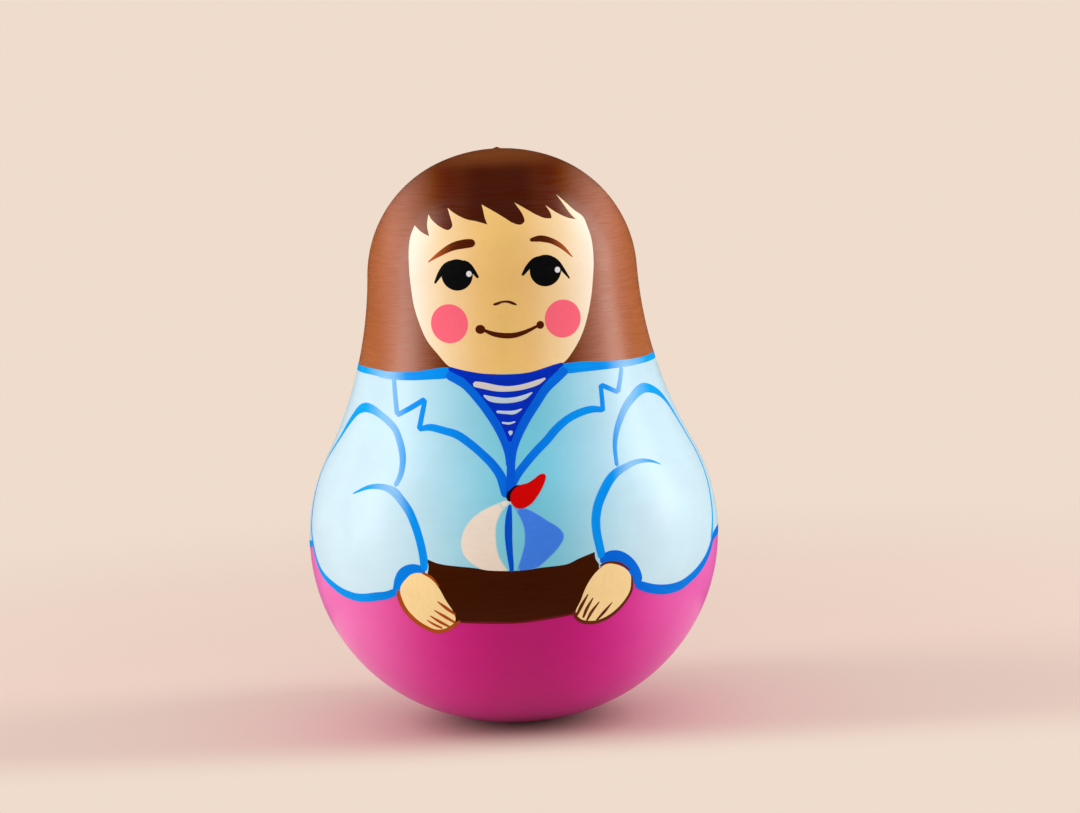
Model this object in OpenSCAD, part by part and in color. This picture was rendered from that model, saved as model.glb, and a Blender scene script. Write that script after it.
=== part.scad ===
// Wooden roly poly doll that rocks on a weighted round base and chimes as it rocks.
// Millimetres. The origin is the middle of the small flat that the doll stands on, +Z is up and the face
// looks along -Y.

/* [Body] */
// Overall height, to the tip of the nib on the crown
total_h = 110; // [100:0.5:125]
// Largest diameter, at the belly
belly_d = 78.5; // [70:0.5:90]
// How far the centre of the belly's curve lies from the axis
belly_offset = 3.95; // [2:0.05:6]
// How much larger the radius of the base is than that of the belly's curve
base_extra = 10.7; // [8:0.1:16]
// Diameter of the small flat that the doll stands on, where the turner parted it off
foot_d = 11; // [9:0.5:14]
// Radius of the hollow curve between belly and head
waist_r = 80; // [60:1:110]
// Radius of the side of the head
head_r = 23.7; // [21:0.1:28]
// How far the centre of the head's side lies from the axis
head_offset = 2; // [0.5:0.1:2.5]
// How much larger the radius of the crown is than that of the side of the head
crown_extra = 5.2; // [2.8:0.1:7]
// Height of the turner's centre nib on the crown
nib_h = 0.3; // [0.2:0.1:1.5]
// Diameter of the nib
nib_d = 1.6; // [1.2:0.1:4]
// Height at which the hair ends and the jacket begins
neck_h = 70; // [64:0.5:74]

/* [Shells] */
// Wall of both shells
wall = 6; // [4.5:0.1:7.5]
// Height of the seam between the two shells
seam_h = 36; // [33:0.5:40]
// Height of the tongue that the lower shell puts into the upper one
tongue_h = 6; // [4:0.5:8]
// Thickness of the tongue
tongue_t = 3; // [2:0.1:3.6]
// Glue room at each side of the tongue
joint_gap = 0.05; // [0.03:0.01:0.15]
// Glue room over the end of the tongue
end_gap = 0.3; // [0.1:0.1:1]

/* [Ballast] */
// Diameter of the ballast disc
ballast_d = 40; // [32:0.5:46]
// Thickness of the ballast disc
ballast_h = 16; // [10:0.5:19]
// Chamfer on the edges of the ballast disc
ballast_chamfer = 1; // [0.3:0.1:2]
// Room round the ballast disc in its seat
seat_gap = 0.2; // [0.1:0.05:0.5]
// Wood left under the rim of the seat
seat_wall = 4.7; // [4:0.1:5.5]
// Least depth of the seat
seat_lip = 0.5; // [0.3:0.1:1]

/* [Ballast screw] */
// Diameter of the wood screw
screw_d = 4; // [3:0.1:5]
// Depth of the screw in the floor of the lower shell
screw_bite = 6.5; // [4:0.5:7]
// Length of the screw's point
screw_point = 2.5; // [1.5:0.1:3.5]
// Wood left free under the screw's point
pilot_end = 0.4; // [0.2:0.1:0.8]
// Diameter of the screw's head
screw_head_d = 8; // [6.5:0.1:9]
// Height of the screw's head
screw_head_h = 2.6; // [2:0.1:3.2]
// Room round the screw in the ballast, the chime base and the washer
screw_gap = 0.25; // [0.1:0.05:0.5]
// Diameter of the washer
washer_d = 11; // [9.5:0.1:13]
// Thickness of the washer
washer_t = 1; // [0.6:0.1:1.6]
// Width of the slots in the screw heads
slot_w = 0.9; // [0.6:0.1:1.2]
// Depth of the slots in the screw heads
slot_depth = 0.9; // [0.5:0.1:1.2]

/* [Chime] */
// Thickness of the chime base
chime_t = 2; // [1.5:0.1:3]
// Diameter of a chime rod
rod_d = 2.5; // [2:0.1:3]
// Radius of the circle that the rods stand on
rod_ring_r = 12.5; // [11.5:0.1:14]
// Length of the longest rod
rod_len = 33; // [30:0.5:38]
// How much shorter each next rod is
rod_step = 3; // [1:0.1:4]
// Rounding at the top of a rod
rod_round = 0.6; // [0.2:0.1:0.9]
// Room round a rod in its hole
rod_gap = 0.03; // [0.02:0.01:0.08]

/* [Yoke] */
// Height of the yoke's opening over the chime base
yoke_h = 42; // [38:0.5:46]
// Width of the yoke's strap
yoke_w = 6; // [5.2:0.1:7]
// Thickness of the yoke's strap
yoke_t = 1.2; // [0.8:0.1:1.6]
// Room between the rods and the yoke's legs
yoke_clear = 2; // [1.5:0.1:3]
// Inner radius of the yoke's bends
yoke_bend = 1.5; // [1:0.1:2.5]
// Strap left beside the head of a yoke screw
foot_edge = 0.4; // [0.2:0.1:1]
// Rim of the chime base round the yoke's feet
chime_rim = 0.8; // [0.3:0.1:1.5]
// Diameter of the yoke screws
foot_screw_d = 2.5; // [2:0.1:3]
// Diameter of the yoke screws' heads
foot_screw_head_d = 4.4; // [4:0.1:5]
// Height of the yoke screws' heads
foot_screw_head_h = 1.7; // [1.3:0.1:2.2]
// How far the yoke screws end above the underside of the chime base
foot_screw_end = 0.2; // [0.1:0.1:0.6]
// Length of the yoke screws' points
foot_screw_point = 0.5; // [0.3:0.1:0.8]
// Room round the yoke screws
foot_screw_gap = 0.05; // [0.03:0.01:0.2]

/* [Striker] */
// Diameter of the striker head
striker_d = 14; // [12:0.1:16]
// Thickness of the striker head
striker_t = 4; // [3:0.1:5]
// Height of the striker head's middle over the chime base
strike_h = 14; // [12:0.5:16]
// Room left between the striker head and a rod at the end of the swing
strike_gap = 0.25; // [0.15:0.05:0.6]
// Mean radius of the hanger eye
eye_r = 2.6; // [2.4:0.1:3]
// Wire of the hanger eye
eye_wire = 1.4; // [1.2:0.1:1.6]
// Diameter of the collar and of the riveted head of the hanger eye
eye_collar_d = 3.6; // [3:0.1:4.5]
// Thickness of that collar and head
eye_collar_t = 0.8; // [0.5:0.1:1.2]
// Diameter of the hanger eye's shank
eye_shank_d = 1.8; // [1.6:0.1:2.2]
// Room round the hanger eye's shank in the yoke
eye_gap = 0.05; // [0.03:0.01:0.15]
// Mean radius of the link ring
link_r = 3; // [2.8:0.1:3.4]
// Wire of the link ring
link_wire = 1.2; // [1:0.1:1.4]
// Mean radius of the loop of the striker stem
loop_r = 2.6; // [2.4:0.1:3]
// Wire of the loop of the striker stem
loop_wire = 1.2; // [1:0.1:1.4]
// Diameter of the straight part of the striker stem
stem_d = 1.6; // [1.5:0.1:2]
// How far the stem reaches below its lower collar
stem_end = 0.8; // [0.4:0.1:1.5]
// Diameter of the stem collars
collar_d = 4.6; // [3.6:0.1:6]
// Height of the stem collars
collar_h = 2; // [1.5:0.1:3]
// Room round the stem in the striker head and the collars
stem_gap = 0.05; // [0.03:0.01:0.15]
// Play between the links of the chain
play = 0.1; // [0.08:0.01:0.2]

/* [Hidden] */

$fn = 96;
outline_step = 3;
rim_step = 6;
bend_step = 15;
past = 1;
yoke_turn = 45;
rod_turn = 90;
eye_sink = eye_wire / 3;
loop_sink = loop_wire / 3;

// The outline is five arcs that run smoothly into each other: base, belly, waist, head and crown.
belly_r = belly_d / 2 - belly_offset;
base_r = belly_r + base_extra;
crown_r = head_r + crown_extra;
base_c = [0, sqrt(pow(base_r, 2) - pow(foot_d / 2, 2))];
belly_c = [belly_offset, base_c.y - sqrt(pow(base_extra, 2) - pow(belly_offset, 2))];
crown_c = [0, total_h - nib_h - crown_r];
head_c = [head_offset, crown_c.y + sqrt(pow(crown_extra, 2) - pow(head_offset, 2))];
head_from_belly = head_c - belly_c;
head_dist = norm(head_from_belly);
waist_along = (pow(belly_r + waist_r, 2) - pow(head_r + waist_r, 2) + pow(head_dist, 2)) / (2 * head_dist);
waist_aside = sqrt(pow(belly_r + waist_r, 2) - pow(waist_along, 2));
waist_dir = head_from_belly / head_dist;
waist_c = belly_c + waist_along * waist_dir + waist_aside * [waist_dir.y, -waist_dir.x];

// Angles at which one arc runs into the next.
base_belly_a = direction(base_c, belly_c);
belly_waist_a = direction(belly_c, waist_c);
head_waist_a = direction(head_c, waist_c);
crown_head_a = direction(crown_c, head_c);
foot_a = -acos(foot_d / 2 / base_r);
nib_a = acos(nib_d / 2 / crown_r);

// Heights and radii at which the pieces meet.
seat_r = ballast_d / 2 + seat_gap;
floor_h = belly_c.y - sqrt(pow(belly_r - seat_wall, 2) - pow(seat_r - belly_c.x, 2));
seat_on_wall_h = belly_c.y - sqrt(pow(belly_r - wall, 2) - pow(seat_r - belly_c.x, 2));
seat_top = max(seat_on_wall_h, floor_h + seat_lip);
tongue_in = belly_radius(wall, seam_h);
tongue_out = tongue_in + tongue_t;
socket_top = seam_h + tongue_h + end_gap;
chime_bottom = floor_h + ballast_h;
chime_top = chime_bottom + chime_t;
screw_seat = chime_top + washer_t;
screw_tip = floor_h - screw_bite;
yoke_r = rod_ring_r + rod_d / 2 + yoke_clear;
foot_bend_r = yoke_r + yoke_t + yoke_bend;
foot_screw_r = foot_bend_r + foot_edge + foot_screw_head_d / 2;
foot_end_r = foot_screw_r + foot_screw_head_d / 2 + foot_edge;
chime_d = 2 * (norm([foot_end_r, yoke_w / 2]) + chime_rim);
yoke_under = chime_top + yoke_h;
eye_h = yoke_under - eye_collar_t - eye_wire / 2 + eye_sink - eye_r;
link_pivot_h = eye_h - eye_r;
link_h = link_pivot_h + eye_wire / 2 + play + link_wire / 2 - link_r;
striker_pivot_h = link_h - link_r;
loop_h = striker_pivot_h + link_wire / 2 + play + loop_wire / 2 - loop_r;
strike_z = chime_top + strike_h;
striker_rim = striker_t / 2;
striker_core = striker_d / 2 - striker_rim;
strike_reach = rod_ring_r - rod_d / 2 - strike_gap - striker_rim;

// Heights of the two pivots and the swing at which the striker head meets a rod.
echo(link_pivot_h = link_pivot_h, link_swing = swing_limit(link_pivot_h - strike_z));
echo(striker_pivot_h = striker_pivot_h, striker_swing = swing_limit(striker_pivot_h - strike_z));

function direction(from, to) = atan2(to.y - from.y, to.x - from.x);
function swing_limit(arm) = asin(strike_reach / norm([arm, striker_core])) - atan2(striker_core, arm);

// Radius of the belly's arc at height z, a depth below the outside.
function belly_radius(depth, z) = belly_c.x + sqrt(pow(belly_r - depth, 2) - pow(z - belly_c.y, 2));
function belly_angle(depth, z) = asin((z - belly_c.y) / (belly_r - depth));

// Points along an arc, without its first point, so that arcs can be joined end to end.
function arc(c, r, from, to, step = outline_step) =
    let (steps = ceil(abs(to - from) / step))
    [for (i = [1:steps]) let (a = from + (to - from) * i / steps) c + r * [cos(a), sin(a)]];
function reversed(points) = [for (i = [len(points) - 1:-1:0]) points[i]];
function mirrored(points) = [for (p = points) [-p.x, p.y]];

// Outline above height z, a depth below the outside, up to the crown's angle top_a.
function upper_outline(depth, z, top_a) = concat(
    [[belly_radius(depth, z), z]],
    arc(belly_c, belly_r - depth, belly_angle(depth, z), belly_waist_a),
    arc(waist_c, waist_r + depth, 180 + belly_waist_a, 180 + head_waist_a),
    arc(head_c, head_r - depth, head_waist_a, crown_head_a),
    arc(crown_c, crown_r - depth, crown_head_a, top_a)
);

// Outline from the flat underneath to the seam.
function lower_outline() = concat(
    [[0, 0], [foot_d / 2, 0]],
    arc(base_c, base_r, foot_a, base_belly_a),
    arc(belly_c, belly_r, base_belly_a, belly_angle(0, seam_h))
);

// Outline of the lower shell's hollow, from the floor to the seam.
function bowl_outline() =
    let (start_a = belly_angle(wall, seat_top))
    concat(
        [[0, floor_h], [seat_r, floor_h], [seat_r, seat_top]],
        seat_top > seat_on_wall_h ? [[belly_radius(wall, seat_top), seat_top]] : [],
        arc(belly_c, belly_r - wall, start_a, belly_angle(wall, seam_h))
    );

module bored_disc(d, bore, h, chamfer = 0) {
    rotate_extrude()
        polygon(concat(
            [[bore / 2, 0], [d / 2 - chamfer, 0]],
            chamfer > 0 ? [[d / 2, chamfer], [d / 2, h - chamfer]] : [[d / 2, 0], [d / 2, h]],
            [[d / 2 - chamfer, h], [bore / 2, h]]
        ));
}

// Pan head screw with a slot, its head seated at z = 0 and its point at -shank.
module slotted_screw(d, shank, point, head_d, head_h) {
    round_r = head_h / 2;
    difference() {
        rotate_extrude()
            polygon(concat(
                [[0, -shank], [d / 2, point - shank], [d / 2, 0]],
                [[head_d / 2, 0], [head_d / 2, head_h - round_r]],
                arc([head_d / 2 - round_r, head_h - round_r], round_r, 0, 90, bend_step),
                [[0, head_h]]
            ));
        translate([-head_d / 2 - past, -slot_w / 2, head_h - slot_depth])
            cube([head_d + 2 * past, slot_w, slot_depth + past]);
    }
}

// Ring of round wire that stands upright in the XZ plane.
module wire_ring(mean_r, wire) {
    rotate([90, 0, 0])
        rotate_extrude()
            translate([mean_r, 0])
                circle(d = wire);
}

module lower_shell() {
    color("mediumvioletred")
        difference() {
            rotate_extrude()
                polygon(concat(
                    lower_outline(),
                    [[tongue_out, seam_h], [tongue_out, seam_h + tongue_h], [tongue_in, seam_h + tongue_h]],
                    reversed(bowl_outline())
                ));
            translate([0, 0, screw_tip - pilot_end])
                cylinder(d = screw_d + 2 * joint_gap, h = screw_bite + pilot_end + past);
        }
}

module upper_turning() {
    socket_r = tongue_out + joint_gap;
    rotate_extrude()
        polygon(concat(
            upper_outline(0, seam_h, nib_a),
            [[0, total_h]],
            reversed(upper_outline(wall, socket_top, 90)),
            [[socket_r, socket_top], [socket_r, seam_h]]
        ));
}

module upper_shell() {
    color("lightblue")
        intersection() {
            upper_turning();
            cylinder(d = belly_d + past, h = neck_h);
        }
    color("saddlebrown")
        intersection() {
            upper_turning();
            translate([0, 0, neck_h])
                cylinder(d = belly_d + past, h = total_h);
        }
}

module ballast() {
    color("dimgray")
        translate([0, 0, floor_h])
            bored_disc(ballast_d, screw_d + 2 * screw_gap, ballast_h, ballast_chamfer);
}

module ballast_screw() {
    color("goldenrod")
        translate([0, 0, screw_seat])
            slotted_screw(screw_d, screw_seat - screw_tip, screw_point, screw_head_d, screw_head_h);
}

module ballast_washer() {
    color("silver")
        translate([0, 0, chime_top])
            bored_disc(washer_d, screw_d + 2 * screw_gap, washer_t);
}

module chime_base() {
    color("lightgray")
        translate([0, 0, chime_bottom])
            difference() {
                bored_disc(chime_d, screw_d + 2 * screw_gap, chime_t);
                for (i = [0:3])
                    rotate(rod_turn * i)
                        translate([rod_ring_r, 0, -past])
                            cylinder(d = rod_d + 2 * rod_gap, h = chime_t + 2 * past);
                foot_places()
                    translate([0, 0, -past])
                        cylinder(d = foot_screw_d + 2 * foot_screw_gap, h = chime_t + 2 * past);
            }
}

// Rod i of the four, each shorter than the one before it.
module chime_rod(i) {
    len = rod_len - rod_step * i;
    color("gainsboro")
        rotate(rod_turn * i)
            translate([rod_ring_r, 0, chime_bottom])
                rotate_extrude()
                    polygon(concat(
                        [[0, 0], [rod_d / 2, 0], [rod_d / 2, len - rod_round]],
                        arc([rod_d / 2 - rod_round, len - rod_round], rod_round, 0, 90, bend_step),
                        [[0, len]]
                    ));
}

// Places its children at the two screws in the yoke's feet.
module foot_places() {
    for (side = [0, 180])
        rotate(yoke_turn + side)
            translate([foot_screw_r, 0, 0])
                children();
}

module striker_yoke() {
    foot_c = [foot_bend_r, yoke_t + yoke_bend];
    top_c = [yoke_r - yoke_bend, yoke_h - yoke_bend];
    under = concat(
        [[foot_end_r, 0], [foot_bend_r, 0]],
        arc(foot_c, yoke_bend + yoke_t, 270, 180, bend_step),
        [[yoke_r, top_c.y]],
        arc(top_c, yoke_bend, 0, 90, bend_step)
    );
    over = concat(
        [[foot_end_r, yoke_t], [foot_bend_r, yoke_t]],
        arc(foot_c, yoke_bend, 270, 180, bend_step),
        [[yoke_r + yoke_t, top_c.y]],
        arc(top_c, yoke_bend + yoke_t, 0, 90, bend_step)
    );
    color("darkgray")
        translate([0, 0, chime_top])
            difference() {
                rotate([90, 0, yoke_turn])
                    linear_extrude(yoke_w, center = true)
                        polygon(concat(under, reversed(mirrored(under)), mirrored(over), reversed(over)));
                translate([0, 0, yoke_h - past])
                    cylinder(d = eye_shank_d + 2 * eye_gap, h = yoke_t + 2 * past);
                foot_places()
                    translate([0, 0, -past])
                        cylinder(d = foot_screw_d + 2 * foot_screw_gap, h = yoke_t + 2 * past);
            }
}

module yoke_screws() {
    shank = yoke_t + chime_t - foot_screw_end;
    color("silver")
        foot_places()
            translate([0, 0, chime_top + yoke_t])
                slotted_screw(foot_screw_d, shank, foot_screw_point, foot_screw_head_d, foot_screw_head_h);
}

// Wire eye under the yoke, with a collar below the strap and a riveted head above it.
module hanger_eye() {
    color("gold")
        union() {
            translate([0, 0, eye_h])
                wire_ring(eye_r, eye_wire);
            translate([0, 0, yoke_under - eye_collar_t])
                cylinder(d = eye_collar_d, h = eye_collar_t);
            translate([0, 0, yoke_under - eye_collar_t / 2])
                cylinder(d = eye_shank_d, h = yoke_t + eye_collar_t);
            translate([0, 0, yoke_under + yoke_t])
                cylinder(d = eye_collar_d, h = eye_collar_t);
        }
}

module link_ring() {
    color("gold")
        translate([0, 0, link_h])
            rotate(90)
                wire_ring(link_r, link_wire);
}

// Loop that hangs in the link ring, and the straight stem under it.
module striker_stem() {
    stem_top = loop_h - loop_r + loop_sink;
    stem_bottom = strike_z - striker_t / 2 - collar_h - stem_end;
    color("gold")
        union() {
            translate([0, 0, loop_h])
                wire_ring(loop_r, loop_wire);
            translate([0, 0, stem_bottom])
                cylinder(d = stem_d, h = stem_top - stem_bottom);
        }
}

// Brass disc with a fully rounded rim.
module striker_head() {
    bore_r = stem_d / 2 + stem_gap;
    color("darkgoldenrod")
        translate([0, 0, strike_z])
            rotate_extrude()
                polygon(concat(
                    [[bore_r, -striker_rim], [striker_core, -striker_rim]],
                    arc([striker_core, 0], striker_rim, -90, 90, rim_step),
                    [[bore_r, striker_rim]]
                ));
}

// Crimped collars that hold the striker head from below and from above.
module stem_collars() {
    color("silver")
        for (bottom = [-striker_t / 2 - collar_h, striker_t / 2])
            translate([0, 0, strike_z + bottom])
                bored_disc(collar_d, stem_d + 2 * stem_gap, collar_h);
}

lower_shell();
upper_shell();
ballast();
ballast_screw();
ballast_washer();
chime_base();
chime_rod(0);  // chime_rod_1
chime_rod(1);  // chime_rod_2
chime_rod(2);  // chime_rod_3
chime_rod(3);  // chime_rod_4
striker_yoke();
yoke_screws();
hanger_eye();
link_ring();
striker_stem();
striker_head();
stem_collars();
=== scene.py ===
import math

import bmesh
import bpy
from mathutils import Matrix, Vector
from mathutils.geometry import delaunay_2d_cdt


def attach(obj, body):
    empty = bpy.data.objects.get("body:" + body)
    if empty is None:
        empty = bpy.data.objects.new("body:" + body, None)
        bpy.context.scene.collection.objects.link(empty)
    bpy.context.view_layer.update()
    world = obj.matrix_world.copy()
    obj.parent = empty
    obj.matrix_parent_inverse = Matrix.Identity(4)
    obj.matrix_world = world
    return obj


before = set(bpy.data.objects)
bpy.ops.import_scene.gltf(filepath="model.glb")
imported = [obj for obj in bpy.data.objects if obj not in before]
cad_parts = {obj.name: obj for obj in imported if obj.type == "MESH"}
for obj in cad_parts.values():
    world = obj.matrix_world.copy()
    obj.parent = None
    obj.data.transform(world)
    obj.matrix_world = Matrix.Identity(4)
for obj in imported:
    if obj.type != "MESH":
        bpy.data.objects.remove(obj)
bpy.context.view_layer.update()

MM = 0.001

# Sizes of the two turned shells in millimetres, the same as in the part's source.
TOTAL_H = 110.0
BELLY_D = 78.5
BELLY_OFFSET = 3.95
BASE_EXTRA = 10.7
FOOT_D = 11.0
WAIST_R = 80.0
HEAD_R = 23.7
HEAD_OFFSET = 2.0
CROWN_EXTRA = 5.2
NIB_H = 0.3
NIB_D = 1.6

# Height of the neckline, where the hair's paint meets the jacket's.
NECK_H = 69.4

# Height to which the trousers' paint goes under the jacket's.
TROUSERS_TOP = 38.0

# How far each layer of paint stands off the wood, and how deep its underside goes in.
TROUSERS = 0.03
CLOTH = 0.055
FIGURE = 0.08
DETAIL = 0.105
FINE = 0.13
UNDER = -0.03

# How far two skins of one layer are kept apart where they cross.
APART = 0.01

# How much thinner a patch of paint is along its rim.
RIM = 0.012

# How far a stroke is domed, and the width from which it has the full dome.
DOME = 0.018
FULL_DOME = 1.2

# Spacing of the points along a stroke, a small stroke and the outline of a patch.
STEP = 0.25
SMALL_STEP = 0.15
OUTLINE_STEP = 0.4

# Height of the triangles that fill a patch, for a side of one, and how far their points keep from the
# rim, as shares of the soft edge's width and of the spacing.
TRIANGLE_H = 0.87
SOFT_CLEAR = 0.8
GRID_CLEAR = 0.45

# Number of places where the streaks of a patch and of a stroke can start, so that no two look alike.
PATCH_STARTS = 97
STROKE_STARTS = 89

# Height over which the paint begins above the standing flat, and spacing of the rows all round the wood.
FOOT_FADE = 0.8
ROW_STEP = 0.8
JACKET_ROWS = 52

# How finely the outline is climbed to space the rows, and the share of a row that is too short to keep.
CLIMB_STEP = 0.02
SHORT_ROW = 0.3


# The outline of the wood: five arcs that run smoothly into each other.

def shell_arcs():
    belly_r = BELLY_D / 2 - BELLY_OFFSET
    base_r = belly_r + BASE_EXTRA
    crown_r = HEAD_R + CROWN_EXTRA
    base = Vector((0, math.sqrt(base_r**2 - (FOOT_D / 2) ** 2)))
    belly = Vector((BELLY_OFFSET, base.y - math.sqrt(BASE_EXTRA**2 - BELLY_OFFSET**2)))
    crown = Vector((0, TOTAL_H - NIB_H - crown_r))
    head = Vector((HEAD_OFFSET, crown.y + math.sqrt(CROWN_EXTRA**2 - HEAD_OFFSET**2)))
    span = (head - belly).length
    along = ((belly_r + WAIST_R) ** 2 - (HEAD_R + WAIST_R) ** 2 + span**2) / (2 * span)
    aside = math.sqrt((belly_r + WAIST_R) ** 2 - along**2)
    up = (head - belly).normalized()
    waist = belly + along * up + aside * Vector((up.y, -up.x))

    def leaves(centre, radius, other):
        return centre.y + radius * (other - centre).normalized().y

    return [
        (base, base_r, 1, leaves(base, base_r, belly)),
        (belly, belly_r, 1, leaves(belly, belly_r, waist)),
        (waist, WAIST_R, -1, leaves(head, HEAD_R, waist)),
        (head, HEAD_R, 1, leaves(crown, crown_r, head)),
        (crown, crown_r, 1, TOTAL_H),
    ]


ARCS = shell_arcs()


def surface(z):
    """Radius of the wood at height z, and its outward normal along the radius and the height."""
    for centre, radius, side, top in ARCS:
        if z <= top:
            break
    rise = z - centre.y
    reach = math.sqrt(max(radius**2 - rise**2, 0.0))
    return centre.x + side * reach, reach / radius, side * rise / radius


def on(az, z, lift=0.0):
    """Point over the wood at an azimuth from the face towards the viewer's right."""
    r, out, up = surface(z)
    r += lift * out
    return Vector((r * math.sin(az), -r * math.cos(az), z + lift * up))


def front(*points):
    """Points given as seen from straight in front, across and up, to azimuth and height."""
    return [(math.asin(max(-1, min(1, p[0] / surface(p[1])[0]))), *p[1:]) for p in points]


def turned(*points):
    """Points given by azimuth in degrees and height."""
    return [(math.radians(p[0]), *p[1:]) for p in points]


# Radius at which a curve is laid flat to be smoothed.
FLAT_R = 30.0


def smooth(points, step):
    """Even points along a smooth curve through points of azimuth, height and perhaps width."""
    flat = [Vector((p[0] * FLAT_R, p[1], p[2] if len(p) > 2 else 0)) for p in points]
    if len(flat) == 2:
        flat.insert(1, (flat[0] + flat[1]) / 2)
    flat = [2 * flat[0] - flat[1], *flat, 2 * flat[-1] - flat[-2]]
    found = []
    for a, b, c, d in zip(flat, flat[1:], flat[2:], flat[3:]):
        knots = [0.0]
        for p, q in ((a, b), (b, c), (c, d)):
            knots.append(knots[-1] + max(math.sqrt((q - p).length), 1e-3))
        count = max(2, math.ceil((c - b).length / step))
        for i in range(count):
            found.append(between(a, b, c, d, knots, knots[1] + (knots[2] - knots[1]) * i / count))
    found.append(flat[-2])
    return [(p.x / FLAT_R, p.y, p.z) for p in found]


def between(a, b, c, d, knots, t):
    """Point at t on the smooth curve from b to c."""
    def blend(p, q, i, j):
        return (p * (knots[j] - t) + q * (t - knots[i])) / (knots[j] - knots[i])

    ab, bc, cd = blend(a, b, 0, 1), blend(b, c, 1, 2), blend(c, d, 2, 3)
    return blend(blend(ab, bc, 0, 2), blend(bc, cd, 1, 3), 1, 2)


def ellipse(x, z, rx, rz, count=56):
    turn = [2 * math.pi * i / count for i in range(count)]
    return front(*[(x + rx * math.cos(a), z + rz * math.sin(a)) for a in turn])


def outline(runs):
    """Closed outline of smooth runs with a corner wherever two of them meet."""
    found = []
    start = runs[-1][-1]
    for run in runs:
        found += smooth([start, *run], OUTLINE_STEP)[:-1]
        start = run[-1]
    return [p[:2] for p in found]


# Skins of paint.

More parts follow.
